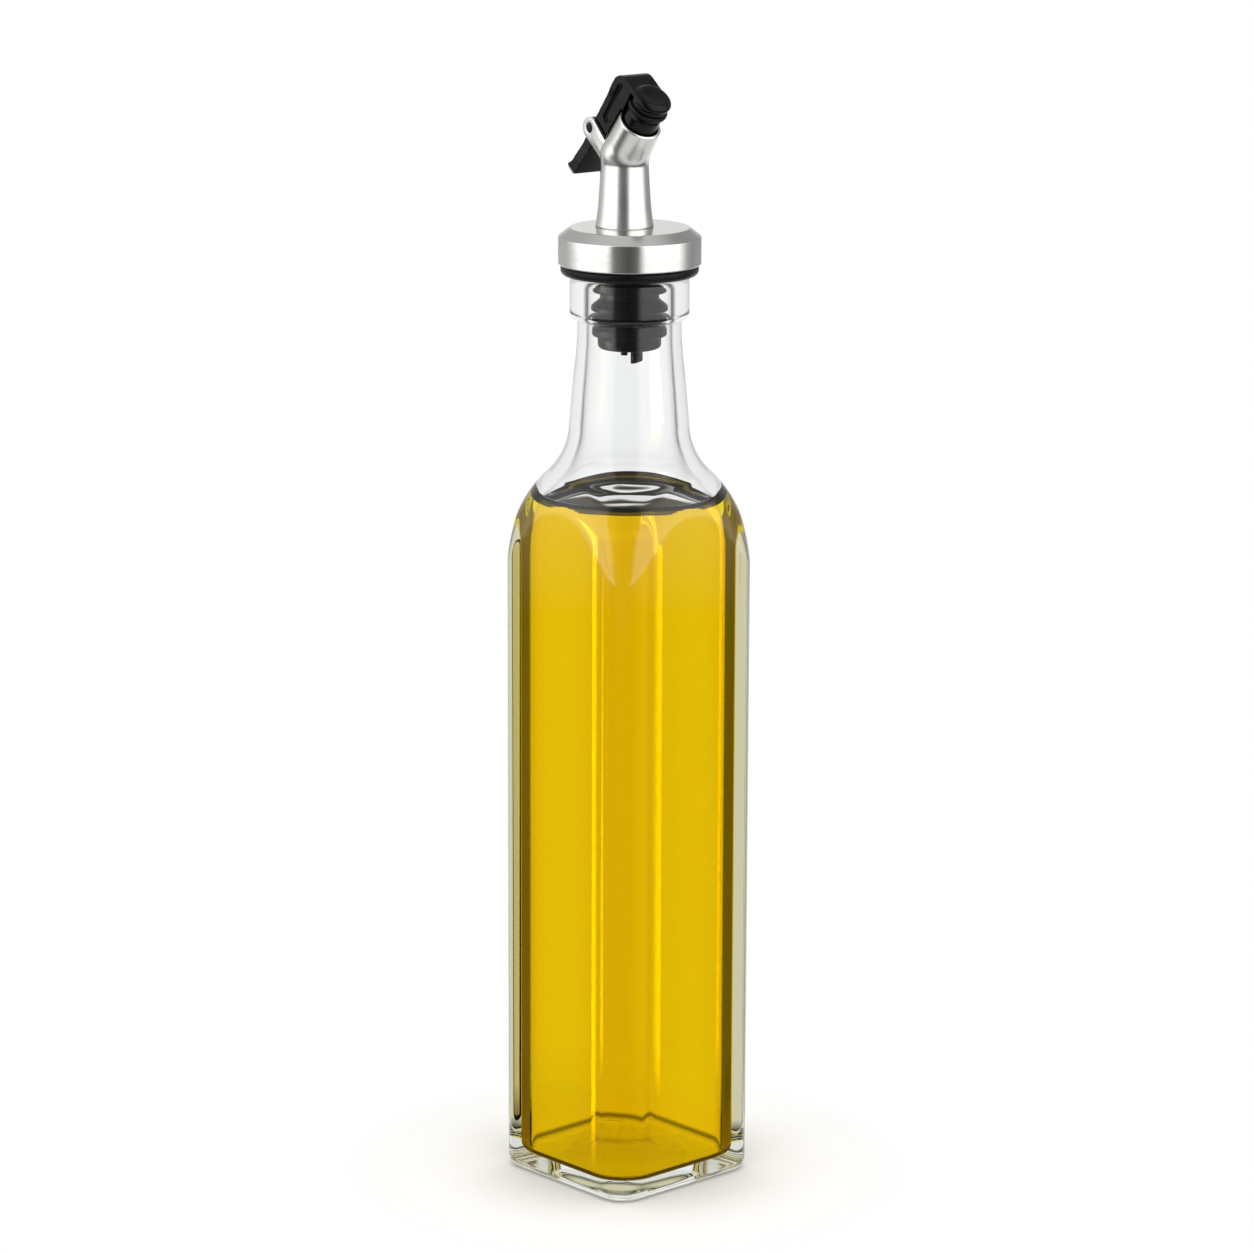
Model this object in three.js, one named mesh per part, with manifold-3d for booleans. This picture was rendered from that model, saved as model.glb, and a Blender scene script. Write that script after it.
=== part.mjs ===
// Oil cruet: a square glass bottle of oil, shut by a ribbed rubber stopper that carries a metal
// pourer with a flip lever. Millimetres, +Z up. The origin is the centre of the base, and the
// bottle's flat sides face X and Y. The pourer points along +X, turned a little, as it was pushed in.
import * as THREE from "three";
import { mergeVertices } from "three/addons/utils/BufferGeometryUtils.js";
import Module from "manifold-3d";

const wasm = await Module();
wasm.setup();

const DEG = Math.PI / 180;
const GAP = 0.3; // between neighbours that touch in the real thing

// Bottle: a rounded square tower under a domed shoulder, a round neck and a ring finish.
const SIDE = 55;
const OUTER_CORNER = 8.5;
const INNER_CORNER = 11;
const WALL = 4.2;
const HEEL = 3.2; // radius of the outer bottom edge
const FLOOR_Z = 5.2;
const FLOOR_ROUND = 2.5;
const PUNT_R = 17;
const PUNT_DEPTH = 0.4;
const SHOULDER_Z = 185; // where the corners start to lean in
const SHOULDER_ARC = 36.2;
const SHOULDER_TURN = 47 * DEG; // lean of the shoulder where it meets the neck's fillet
const SHOULDER_BLEND = 3.5; // softening between the flat sides and the dome
const BLEND_RISE = 10; // height over which the softening grows to that
const NECK_R = 17.4;
const NECK_MIDDLE = [247, 15.45]; // a height and the neck's radius there
const NECK_WAIST_R = 15;
const FINISH_R = 17.25;
const FINISH_Z = 256.4;
const FINISH_TOP = 269.1;
const FINISH_ROUND = 1.6;
const FINISH_LOW_ROUND = 2.2;
const BORE_LOW_R = 13.6;
const BORE_MIDDLE = [247, 12.15];
const BORE_TOP_R = 11.9;
const OIL_TOP = 203.1;

// Stopper: ribs on a core, a flange over the finish, and a boss inside the collar.
const STOPPER_CORE_R = 9.2;
const STOPPER_TIP_Z = 248;
const STOPPER_WAIST_R = 8.5;
const TOP_RIB_R = 10.7;
const RIBS = [
  { low: 252, high: 254.3, lowR: 10.5, highR: 10.8 },
  { low: 256, high: 258.1, lowR: 10.6, highR: 10.8 },
  { low: 259.6, high: 261, lowR: 11, highR: 11.1 },
];
const WAIST_LOW_Z = 262.9;
const WAIST_HIGH_Z = 264.7;
const FLANGE_Z = 269.4;
const FLANGE_R = 19.9;
const FLANGE_THICK = 2.8;

// Collar: a thin pressed cap with a bevelled top edge.
const COLLAR_R = 20.6;
const COLLAR_Z = 272.5;
const COLLAR_SHOULDER_Z = 280.4;
const COLLAR_TOP_R = 17.2;
const COLLAR_TOP_Z = 283;
const COLLAR_WALL = 1.2;

// Pourer, in its own frame: X towards the mouth, Y along the hinge.
const POURER_TURN = -5 * DEG;
const COLUMN_X = -2.5;
const COLUMN_R = [
  [283, 8.4],
  [285.5, 8],
  [289, 7.6],
  [295, 7.2],
  [301, 6.8],
];
const BARREL_TILT = 37.3 * DEG; // of the barrel's axis from the vertical
const MOUTH_X = 4.5;
const MOUTH_Z = 313;
const MOUTH_R = 6.35;
const MOUTH_BORE_R = 5.4;
const MOUTH_BORE_DEPTH = 8;
const LIP = 0.55; // height of the rounded lip over the mouth's outer edge
const ELBOW_R = 6.85;
const ELBOW_STEP = 0.05; // the column ends this much inside the barrel, and the ball inside both
const ELBOW_DEPTH = (MOUTH_X - COLUMN_X) / Math.sin(BARREL_TILT);
const EAR_R = 3.1;
const EAR_IN = 4.8; // inner and outer face, from the middle plane
const EAR_OUT = 5.8;
const EAR_ROOT_TOP = [-2.5, 306];
const EAR_ROOT_LOW = [-3.5, 300.2];
const PIN_R = 1.3;
const PIN_HOLE_R = 1.4;

// The nozzle, the plug and the lever are drawn on the barrel's axis: up it from the mouth, and
// across it in the middle plane, away from the hinge.
const HINGE_ACROSS = -11.6;
const HINGE_UP = -11.7;
const NOZZLE_LOW = -6;
const NOZZLE_TOP = 5.1;
const NOZZLE_HOLE_R = 1.5;
const PLUG_LOW = 5.5;
const PLUG_STEP = 6.95;
const PLUG_TOP = 8.45;
const PLUG_RIM_R = 5.9;
const PLUG_R = 5.2;
const KNOB_LOW = 8.75;
const KNOB_TOP = 11.1;
const KNOB_R = 5.7;
const LEVER_HALF = 4.6;
const HEAD_HALF = 4.9;
const TAB_HALF = 5.3;
const TAB_CORNER = 1.6;
const BACK_ACROSS = -12.3; // the lever's straight back
const STRIP_THICK = 3.4;
const PLATE_TOP = 10.2;
const PLATE_THICK = 1.8;
const BEND_R = 4;
const TAB_END = -29.2;
const WALL_ACROSS = -3.4; // the front edge of the lever's side walls
const LEVER_WALL = 1.8;
const LEVER_BACK = 1.8;
const POCKET_DEPTH = 0.8;
const POCKET_RIM = 2.4;
const POCKET_LOW = -6.7;
const POCKET_TURN = -2; // where the pocket's front edge starts to follow the wall's
const CHANNEL_LOW = -7.2;
const CHANNEL_FRONT = 3;
const WALL_LOW = -6;
const TAB_START = -18.7;
// The tab's curled end: across from the lever's back, and up from the tab's end.
const TAB_TIP = [
  [0, 4.8],
  [-0.5, 3],
  [-1.2, 1.7],
  [-1.1, 0.5],
  [1.6, 0],
];
const TAB_FRONT = 1.8;
const HEAD_START = 4;

const TUBES = [
  { name: "vent_tube", x: -2.5, outer: 1, bore: 0.5, low: 245.3, cut: 0 },
  { name: "pour_tube", x: 3.4, outer: 1.7, bore: 1.1, low: 243.4, cut: 1.6 },
];

const SECTION_STEPS = 40;
const CORNER_CROWDING = 0.14; // how far the bottle's steps are pulled towards its corners, in radians
const LEAST_CORNER = 2;
const DOME_STEPS = 6;
const INNER_DOME_STEPS = 6;
const ROUND_STEPS = 32;
const SMALL_STEPS = 24;
const TINY_STEPS = 12;

const glassLook = new THREE.MeshStandardMaterial({
  color: 0xe9eee8,
  roughness: 0.03,
  transparent: true,
  opacity: 0.35,
});
const oilLook = new THREE.MeshStandardMaterial({ color: 0xe2b007, roughness: 0.08 });
const rubberLook = new THREE.MeshStandardMaterial({ color: 0x151515, roughness: 0.5 });
const plasticLook = new THREE.MeshStandardMaterial({ color: 0x1b1b1c, roughness: 0.35 });
const steelLook = new THREE.MeshStandardMaterial({ color: 0xbdbdba, roughness: 0.25, metalness: 1 });
const castLook = new THREE.MeshStandardMaterial({ color: 0xc4c3bf, roughness: 0.35, metalness: 1 });

const point = (x, y) => new THREE.Vector2(x, y);

// Points on an arc of a profile, from one angle to another, both ends included.
function arc(x, y, r, from, to, steps) {
  const points = [];
  for (let i = 0; i <= steps; i++) {
    const angle = from + ((to - from) * i) / steps;
    points.push(point(x + r * Math.cos(angle), y + r * Math.sin(angle)));
  }
  return points;
}

// A profile of radius and height turned round the Z axis.
function turned(profile, steps) {
  return new THREE.LatheGeometry(profile, steps).rotateX(Math.PI / 2);
}

// An outline in the XZ plane given thickness between two values of Y.
function slab(outline, low, high) {
  const shape = new THREE.Shape(outline);
  const geometry = new THREE.ExtrudeGeometry(shape, {
    depth: high - low,
    bevelEnabled: false,
    curveSegments: TINY_STEPS,
  });
  return geometry.rotateX(Math.PI / 2).translate(0, high, 0);
}

function solid(geometry) {
  const bare = geometry.index ? geometry.toNonIndexed() : geometry.clone();
  bare.deleteAttribute("normal");
  bare.deleteAttribute("uv");
  const merged = mergeVertices(bare, 1e-4);
  const mesh = new wasm.Mesh({
    numProp: 3,
    vertProperties: merged.attributes.position.array,
    triVerts: new Uint32Array(merged.index.array),
  });
  return new wasm.Manifold(mesh);
}

function geometryOf(made) {
  const mesh = made.getMesh();
  const geometry = new THREE.BufferGeometry();
  geometry.setAttribute("position", new THREE.BufferAttribute(mesh.vertProperties, 3));
  geometry.setIndex(new THREE.BufferAttribute(mesh.triVerts, 1));
  geometry.computeVertexNormals();
  return geometry;
}

function named(name, geometry, material) {
  const mesh = new THREE.Mesh(geometry, material);
  mesh.name = name;
  return mesh;
}

// Distance from the centre to a rounded square's edge, in the direction of an angle.
function squareReach(angle, half, corner) {
  const quarter = Math.PI / 2;
  const off = Math.abs(angle - quarter * Math.round(angle / quarter));
  const flat = half - corner;
  const cos = Math.cos(off);
  const sin = Math.sin(off);
  if (half * sin <= flat * cos) return half / cos;
  return flat * (cos + sin) + Math.sqrt(corner ** 2 - (flat * (cos - sin)) ** 2);
}

function softMin(a, b, blend) {
  if (blend <= 0) return Math.min(a, b);
  const share = Math.max(blend - Math.abs(a - b), 0) / blend;
  return Math.min(a, b) - (share * share * blend) / 4;
}

// Turns a round profile and squares it. Below the shoulder the profile's radius is measured at the
// corner, so that the heel goes all round, and up to the punt's radius it stays round. From the
// shoulder up it is the square or the round section, whichever is smaller. Steps crowd towards
// the corners.
function squared(profile, half, corner) {
  const geometry = turned(profile, SECTION_STEPS);
  const position = geometry.getAttribute("position");
  const reach = squareReach(Math.PI / 4, half, corner);
  for (let i = 0; i < position.count; i++) {
    const x = position.getX(i);
    const y = position.getY(i);
    const round = Math.hypot(x, y);
    const even = Math.atan2(y, x);
    const angle = even + CORNER_CROWDING * Math.sin(4 * even);
    const inset = Math.max(reach - round, 0);
    let r = round;
    const up = position.getZ(i) - SHOULDER_Z;
    if (up >= 0) {
      const blend = SHOULDER_BLEND * Math.min(up / BLEND_RISE, 1);
      r = softMin(squareReach(angle, half, corner), round, blend);
    } else if (round > PUNT_R + GAP) {
      r = squareReach(angle, half - inset, Math.max(corner - inset, LEAST_CORNER));
    }
    position.setXY(i, r * Math.cos(angle), r * Math.sin(angle));
  }
  return geometry;
}

// The dome and the fillet into the neck, of a surface that lies inset mm inside the outer one.
function shoulderProfile(inset, neckR, steps) {
  const centreR = squareReach(Math.PI / 4, SIDE / 2, OUTER_CORNER) - SHOULDER_ARC;
  const domeR = SHOULDER_ARC - inset;
  const dome = arc(centreR, SHOULDER_Z, domeR, 0, SHOULDER_TURN, steps);
  const join = dome[dome.length - 1];
  const filletR = (join.x - neckR) / (1 - Math.cos(SHOULDER_TURN));
  const filletX = join.x + filletR * Math.cos(SHOULDER_TURN);
  const filletZ = join.y + filletR * Math.sin(SHOULDER_TURN);
  const fillet = arc(filletX, filletZ, filletR, Math.PI + SHOULDER_TURN, Math.PI, steps - 2);
  return [...dome, ...fillet.slice(1)];
}

function glassBottle() {
  const half = SIDE / 2;
  const reach = squareReach(Math.PI / 4, half, OUTER_CORNER);
  const innerReach = squareReach(Math.PI / 4, half - WALL, INNER_CORNER);
  const ringLow = FINISH_Z + FINISH_LOW_ROUND;
  const ringHigh = FINISH_TOP - FINISH_ROUND;
  const outer = [
    point(0, PUNT_DEPTH),
    point(PUNT_R * 0.6, PUNT_DEPTH),
    point(PUNT_R, 0),
    ...arc(reach - HEEL, HEEL, HEEL, -Math.PI / 2, 0, 3),
    ...shoulderProfile(0, NECK_R, DOME_STEPS),
    point(NECK_MIDDLE[1], NECK_MIDDLE[0]),
    point(NECK_WAIST_R, FINISH_Z),
    ...arc(FINISH_R - FINISH_LOW_ROUND, ringLow, FINISH_LOW_ROUND, -Math.PI / 2, 0, 2),
    ...arc(FINISH_R - FINISH_ROUND, ringHigh, FINISH_ROUND, 0, Math.PI / 2, 2),
    point(0, FINISH_TOP),
  ];
  const inner = [
    point(0, FLOOR_Z),
    point(PUNT_R, FLOOR_Z),
    ...arc(innerReach - FLOOR_ROUND, FLOOR_Z + FLOOR_ROUND, FLOOR_ROUND, -Math.PI / 2, 0, 3),
    ...shoulderProfile(WALL, BORE_LOW_R, INNER_DOME_STEPS),
    point(BORE_MIDDLE[1], BORE_MIDDLE[0]),
    point(BORE_TOP_R, FINISH_TOP),
  ];
  const shell = solid(squared(outer, half, OUTER_CORNER));
  const hollow = [...inner, point(BORE_TOP_R, FINISH_TOP + 5), point(0, FINISH_TOP + 5)];
  const cavity = solid(squared(hollow, half - WALL, INNER_CORNER));
  return geometryOf(shell.subtract(cavity));
}

// The oil fills the hollow to its level.
function oilBody() {
  const half = SIDE / 2 - WALL - GAP;
  const corner = INNER_CORNER - GAP;
  const reach = squareReach(Math.PI / 4, half, corner);
  const low = FLOOR_Z + GAP;
  const dome = shoulderProfile(WALL + GAP, BORE_LOW_R - GAP, INNER_DOME_STEPS);
  const profile = [
    point(0, low),
    point(PUNT_R, low),
    ...arc(reach - FLOOR_ROUND, low + FLOOR_ROUND, FLOOR_ROUND, -Math.PI / 2, 0, 3),
    ...dome,
    point(0, dome[dome.length - 1].y),
  ];
  const air = new THREE.BoxGeometry(SIDE, SIDE, SIDE).translate(0, 0, OIL_TOP + SIDE / 2);
  return geometryOf(solid(squared(profile, half, corner)).subtract(solid(air)));
}

function stopperBody() {
  const bossR = COLLAR_R - COLLAR_WALL - GAP;
  const bossTopR = COLLAR_TOP_R - COLLAR_WALL / 2 - GAP;
  const bossTop = COLLAR_TOP_Z - COLLAR_WALL - GAP;
  const bossShoulder = COLLAR_SHOULDER_Z - COLLAR_WALL / 2 - GAP;
  const ribs = RIBS.flatMap((rib) => [
    point(STOPPER_CORE_R, rib.low - 0.1),
    point(rib.lowR, rib.low),
    point(rib.highR, rib.high),
    point(STOPPER_CORE_R, rib.high + 0.3),
  ]);
  ribs[ribs.length - 1] = point(STOPPER_WAIST_R, WAIST_LOW_Z);
  const flangeTop = FLANGE_Z + FLANGE_THICK;
  const profile = [
    point(0, STOPPER_TIP_Z),
    point(STOPPER_CORE_R - 0.8, STOPPER_TIP_Z),
    point(STOPPER_CORE_R, STOPPER_TIP_Z + 0.8),
    ...ribs,
    point(STOPPER_WAIST_R, WAIST_HIGH_Z),
    point(TOP_RIB_R - 0.4, WAIST_HIGH_Z + 0.1),
    point(TOP_RIB_R, WAIST_HIGH_Z + 0.6),
    point(TOP_RIB_R, FLANGE_Z),
    ...arc(FLANGE_R - 1.2, FLANGE_Z + 1.2, 1.2, -Math.PI / 2, 0, 2),
    point(FLANGE_R, flangeTop),
    point(bossR, flangeTop),
    point(bossR, bossShoulder),
    point(bossTopR, bossTop),
    point(0, bossTop),
  ];
  return turned(profile, ROUND_STEPS);
}

function collarCap() {
  const profile = [
    point(0, COLLAR_TOP_Z - COLLAR_WALL),
    point(COLLAR_TOP_R - COLLAR_WALL / 2, COLLAR_TOP_Z - COLLAR_WALL),
    point(COLLAR_R - COLLAR_WALL, COLLAR_SHOULDER_Z - COLLAR_WALL / 2),
    point(COLLAR_R - COLLAR_WALL, COLLAR_Z),
    point(COLLAR_R - 0.2, COLLAR_Z),
    point(COLLAR_R, COLLAR_Z + 0.2),
    point(COLLAR_R, COLLAR_SHOULDER_Z),
    point(COLLAR_TOP_R, COLLAR_TOP_Z),
    point(0, COLLAR_TOP_Z),
  ];
  return turned(profile, SECTION_STEPS);
}

// A short tube under the stopper, with its end cut level or at a slant.
function tubeStub(tube) {
  const top = STOPPER_TIP_Z - GAP;
  const profile = [
    point(tube.bore, tube.low - tube.cut),
    point(tube.outer, tube.low - tube.cut),
    point(tube.outer, top),
    point(0, top),
    point(0, top - 1),
    point(tube.bore, top - 1),
    point(tube.bore, tube.low - tube.cut),
  ];
  let made = solid(turned(profile, TINY_STEPS));
  if (tube.cut) {
    const knife = new THREE.BoxGeometry(20, 20, 10).translate(0, 0, -5);
    knife.rotateY(-35 * DEG).translate(-tube.outer, 0, tube.low);
    made = made.subtract(solid(knife));
  }
  return geometryOf(made);
}

// Places a piece that was made round the Z axis, from the mouth, on the barrel's own axis.
function onBarrel(geometry) {
  return geometry.rotateY(BARREL_TILT).translate(MOUTH_X, 0, MOUTH_Z);
}

function coneBetween(lowR, low, highR, high) {
  const profile = [point(0, low), point(lowR, low), point(highR, high), point(0, high)];
  return turned(profile, ROUND_STEPS);
}

// The barrel widens a little from the mouth down to the elbow.
function barrelR(up) {
  return MOUTH_R - ((ELBOW_R - MOUTH_R) * up) / ELBOW_DEPTH;
}

function hingeCylinder(radius, half) {
  const pin = new THREE.CylinderGeometry(radius, radius, 2 * half, SMALL_STEPS);
  return pin.translate(HINGE_ACROSS, 0, HINGE_UP);
}

function barrelSolid() {
  const profile = [
    point(0, -ELBOW_DEPTH),
    point(ELBOW_R, -ELBOW_DEPTH),
    point(MOUTH_R, 0),
    point(MOUTH_R - 0.3, LIP * 0.75),
    point(MOUTH_BORE_R + 0.2, LIP),
    point(0, LIP),
  ];
  return solid(onBarrel(turned(profile, ROUND_STEPS)));
}

function spoutBody() {
  const columnTop = MOUTH_Z - ELBOW_DEPTH * Math.cos(BARREL_TILT);
  const profile = [
    point(0, COLLAR_TOP_Z),
    ...COLUMN_R.map(([z, r]) => point(r, z)),
    point(ELBOW_R - ELBOW_STEP, columnTop),
    point(0, columnTop),
  ];
  const column = solid(turned(profile, ROUND_STEPS).translate(COLUMN_X, 0, 0));
  const ball = new THREE.SphereGeometry(ELBOW_R - 2 * ELBOW_STEP, ROUND_STEPS, ROUND_STEPS / 2);
  const elbow = solid(ball.rotateX(Math.PI / 2).translate(COLUMN_X, 0, columnTop));
  const bore = solid(onBarrel(coneBetween(MOUTH_BORE_R, -MOUTH_BORE_DEPTH, MOUTH_BORE_R, 1)));
  const hinge = new THREE.Vector3(HINGE_ACROSS, 0, HINGE_UP);
  hinge.applyAxisAngle(new THREE.Vector3(0, 1, 0), BARREL_TILT);
  const end = arc(MOUTH_X + hinge.x, MOUTH_Z + hinge.z, EAR_R, 45 * DEG, 235 * DEG, TINY_STEPS);
  const strap = [...end, point(...EAR_ROOT_LOW), point(...EAR_ROOT_TOP)];
  let spout = column.add(elbow).add(barrelSolid());
  for (const side of [-1, 1]) {
    const faces = [side * EAR_IN, side * EAR_OUT].sort((a, b) => a - b);
    spout = spout.add(solid(slab(strap, ...faces)));
  }
  const pinHole = solid(onBarrel(hingeCylinder(PIN_HOLE_R, EAR_OUT + 1)));
  return geometryOf(spout.subtract(bore).subtract(pinHole));
}

function nozzleInsert() {
  const r = MOUTH_BORE_R - GAP;
  const profile = [
    point(NOZZLE_HOLE_R, NOZZLE_TOP - 0.5),
    point(NOZZLE_HOLE_R, NOZZLE_LOW + 2),
    point(0, NOZZLE_LOW + 2),
    point(0, NOZZLE_LOW),
    point(r, NOZZLE_LOW),
    point(r, LIP),
    point(r - 0.3, NOZZLE_TOP - 1),
    point(r - 0.7, NOZZLE_TOP - 0.3),
    point(r - 1.4, NOZZLE_TOP),
    point(NOZZLE_HOLE_R + 0.5, NOZZLE_TOP),
    point(NOZZLE_HOLE_R, NOZZLE_TOP - 0.5),
  ];
  return onBarrel(turned(profile, SMALL_STEPS));
}

// The rubber seal under the lever's knob: a rim that sits on the nozzle, and a ring above it.
function plugSeal() {
  const profile = [
    point(0, PLUG_LOW),
    point(PLUG_RIM_R - 0.5, PLUG_LOW),
    point(PLUG_RIM_R, PLUG_LOW + 0.4),
    point(PLUG_RIM_R, PLUG_STEP - 0.3),
    point(PLUG_RIM_R - 0.3, PLUG_STEP),
    point(PLUG_R - 0.4, PLUG_STEP + 0.2),
    point(PLUG_R, PLUG_STEP + 0.5),
    point(PLUG_R, PLUG_TOP - 0.2),
    point(PLUG_R - 0.2, PLUG_TOP),
    point(0, PLUG_TOP),
  ];
  return onBarrel(turned(profile, SMALL_STEPS));
}

function leverKnob() {
  const profile = [
    point(0, KNOB_LOW),
    point(KNOB_R - 0.35, KNOB_LOW),
    point(KNOB_R - 0.1, KNOB_LOW + 0.4),
    point(KNOB_R, KNOB_LOW + 0.9),
    point(KNOB_R - 0.2, KNOB_LOW + 1.4),
    point(KNOB_R - 0.9, KNOB_LOW + 2),
    point(KNOB_R - 1.8, KNOB_TOP),
    point(1.4, KNOB_TOP - 0.4),
    point(0, KNOB_TOP - 0.5),
  ];
  return solid(turned(profile, ROUND_STEPS));
}

// The lever seen from the side: a straight strip from the thumb tab past the hinge, whose side
// walls reach over the barrel, and a head bent square over the mouth.
function leverSide() {
  const front = BACK_ACROSS + STRIP_THICK;
  const bend = BACK_ACROSS + BEND_R;
  return [
    point(front, TAB_END + TAB_FRONT),
    point(front, HINGE_UP - 2),
    point(front + 2.4, HINGE_UP + 1),
    point(WALL_ACROSS, WALL_LOW),
    point(WALL_ACROSS, PLATE_TOP - PLATE_THICK),
    point(0, PLATE_TOP - PLATE_THICK),
    point(0, PLATE_TOP),
    ...arc(bend, PLATE_TOP - BEND_R, BEND_R, Math.PI / 2, Math.PI, 6),
    ...TAB_TIP.map(([across, up]) => point(BACK_ACROSS + across, TAB_END + up)),
  ];
}

// The lever seen from behind: its half width at each height, with the tab's corners rounded.
function leverPlan() {
  const corner = arc(TAB_HALF - TAB_CORNER, TAB_END + 2.2, TAB_CORNER, -Math.PI / 4, 0, 2);
  const right = [
    point(TAB_HALF - TAB_CORNER, TAB_END - 1),
    ...corner,
    point(TAB_HALF, TAB_END + 5.8),
    point(LEVER_HALF, TAB_START),
    point(LEVER_HALF, HEAD_START - 3),
    point(HEAD_HALF, HEAD_START),
    point(HEAD_HALF, PLATE_TOP + 1),
  ];
  const left = right.map((p) => point(-p.x, p.y)).reverse();
  return [...right, ...left];
}

function leverBody() {
  const inner = LEVER_HALF - LEVER_WALL;
  const strip = BACK_ACROSS + LEVER_BACK;
  const underPlate = PLATE_TOP - PLATE_THICK;
  const channel = [
    point(strip, CHANNEL_LOW),
    point(strip, underPlate - 1.5),
    point(strip + 1.5, underPlate),
    point(CHANNEL_FRONT, underPlate),
    point(CHANNEL_FRONT, CHANNEL_LOW),
  ].reverse();
  const pocketTop = PLATE_TOP - POCKET_RIM;
  const pocket = [
    point(BACK_ACROSS + POCKET_RIM, POCKET_LOW + 1),
    point(BACK_ACROSS + POCKET_RIM + 1.8, POCKET_LOW),
    point(WALL_ACROSS - 1, POCKET_TURN),
    point(WALL_ACROSS - 1, PLUG_LOW - 1),
    point(WALL_ACROSS - 1.8, pocketTop - 1),
    point(WALL_ACROSS - 3, pocketTop),
    point(BACK_ACROSS + POCKET_RIM + 1.2, pocketTop),
    point(BACK_ACROSS + POCKET_RIM, pocketTop - 1.2),
  ];
  const pocketFloor = LEVER_HALF - POCKET_DEPTH;
  const plan = new THREE.ExtrudeGeometry(new THREE.Shape(leverPlan()), {
    depth: 40,
    bevelEnabled: false,
  });
  const axes = [[0, 1, 0], [0, 0, 1], [1, 0, 0]].map((axis) => new THREE.Vector3(...axis));
  plan.applyMatrix4(new THREE.Matrix4().makeBasis(...axes)).translate(-20, 0, 0);
  const plugRoom = coneBetween(PLUG_RIM_R + GAP, -1, PLUG_RIM_R + GAP, KNOB_LOW);
  const low = -ELBOW_DEPTH - 4;
  const barrelRoom = coneBetween(barrelR(low) + 0.4, low, barrelR(LIP) + 0.4, LIP + 0.4);
  const made = solid(slab(leverSide(), -TAB_HALF, TAB_HALF))
    .intersect(solid(plan))
    .add(solid(hingeCylinder(EAR_R, LEVER_HALF)))
    .add(solid(hingeCylinder(PIN_R, EAR_OUT)))
    .subtract(solid(slab(channel, -inner, inner)))
    .subtract(solid(slab(pocket, pocketFloor, TAB_HALF)))
    .subtract(solid(slab(pocket, -TAB_HALF, -pocketFloor)))
    .subtract(solid(barrelRoom))
    .subtract(solid(plugRoom))
    .add(leverKnob());
  return onBarrel(geometryOf(made));
}

const cruet = new THREE.Group();
cruet.add(named("glass_bottle", glassBottle(), glassLook));
cruet.add(named("oil", oilBody(), oilLook));
cruet.add(named("stopper", stopperBody(), rubberLook));
cruet.add(named("collar", collarCap(), steelLook));

const pourer = new THREE.Group();
pourer.rotation.z = POURER_TURN;
for (const tube of TUBES) {
  const stub = named(tube.name, tubeStub(tube), plasticLook);
  stub.position.x = tube.x;
  pourer.add(stub);
}
pourer.add(named("spout", spoutBody(), castLook));
pourer.add(named("nozzle", nozzleInsert(), plasticLook));
pourer.add(named("plug", plugSeal(), rubberLook));
pourer.add(named("lever", leverBody(), plasticLook));
cruet.add(pourer);

export default cruet;
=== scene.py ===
"""Oil cruet: a square clear glass bottle of yellow oil, a ribbed rubber stopper, and a metal pourer
with a black flip lever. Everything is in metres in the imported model's frame; the sizes below are in
millimetres, and the function skin scales them."""

import math

import bmesh
import bpy
import numpy as np
from mathutils import Matrix, Vector


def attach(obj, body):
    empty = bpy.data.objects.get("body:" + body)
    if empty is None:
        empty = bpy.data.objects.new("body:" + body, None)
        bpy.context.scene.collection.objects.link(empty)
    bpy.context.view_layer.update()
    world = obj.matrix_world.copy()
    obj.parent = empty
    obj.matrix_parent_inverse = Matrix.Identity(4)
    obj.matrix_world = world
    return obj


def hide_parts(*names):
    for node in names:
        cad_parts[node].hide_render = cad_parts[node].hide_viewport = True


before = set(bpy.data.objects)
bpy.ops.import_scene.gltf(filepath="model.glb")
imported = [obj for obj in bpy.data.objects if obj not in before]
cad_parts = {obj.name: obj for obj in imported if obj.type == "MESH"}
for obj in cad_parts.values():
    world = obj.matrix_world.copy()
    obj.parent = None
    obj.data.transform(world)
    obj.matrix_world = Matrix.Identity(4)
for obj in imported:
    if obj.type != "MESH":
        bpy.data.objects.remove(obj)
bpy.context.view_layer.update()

MM = 0.001
DEG = math.pi / 180
STEPS = 160  # round pieces: points round the axis

# Bottle, as in the CAD model.
SIDE = 55.0
OUTER_CORNER = 8.5
INNER_CORNER = 11.0
LEAST_CORNER = 2.0
CORNER_CROWDING = 0.14
SECTION_STEPS = 288
WALL = 4.2
HEEL = 3.2
FLOOR_Z = 5.2
FLOOR_ROUND = 2.5
PUNT_R = 17.0
PUNT_DEPTH = 0.4
PUNT_MARGIN = 0.3  # how far past the punt's edge a section stays round
SHOULDER_Z = 185.0
SHOULDER_ARC = 36.2
SHOULDER_TURN = 47 * DEG
SHOULDER_BLEND = 3.5
BLEND_RISE = 10.0
NECK_R = 17.4
NECK_WAIST_R = 15.0
FINISH_R = 17.25
FINISH_Z = 256.4
FINISH_TOP = 269.1
FINISH_ROUND = 1.6
FINISH_LOW_ROUND = 2.2
BORE_LOW_R = 13.6
BORE_TOP_R = 11.9
OIL_TOP = 203.1
OIL_REACH = 0.05  # how far the oil goes into the glass, so that no air shows between them
FLOOR_GAP = 0.03  # the glass floor's underside mirrors, so the oil stays off it
MENISCUS = 2.0  # how far the oil climbs at the glass
MENISCUS_FADE = 1.1  # distance from the glass over which that falls to 1/e

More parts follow.
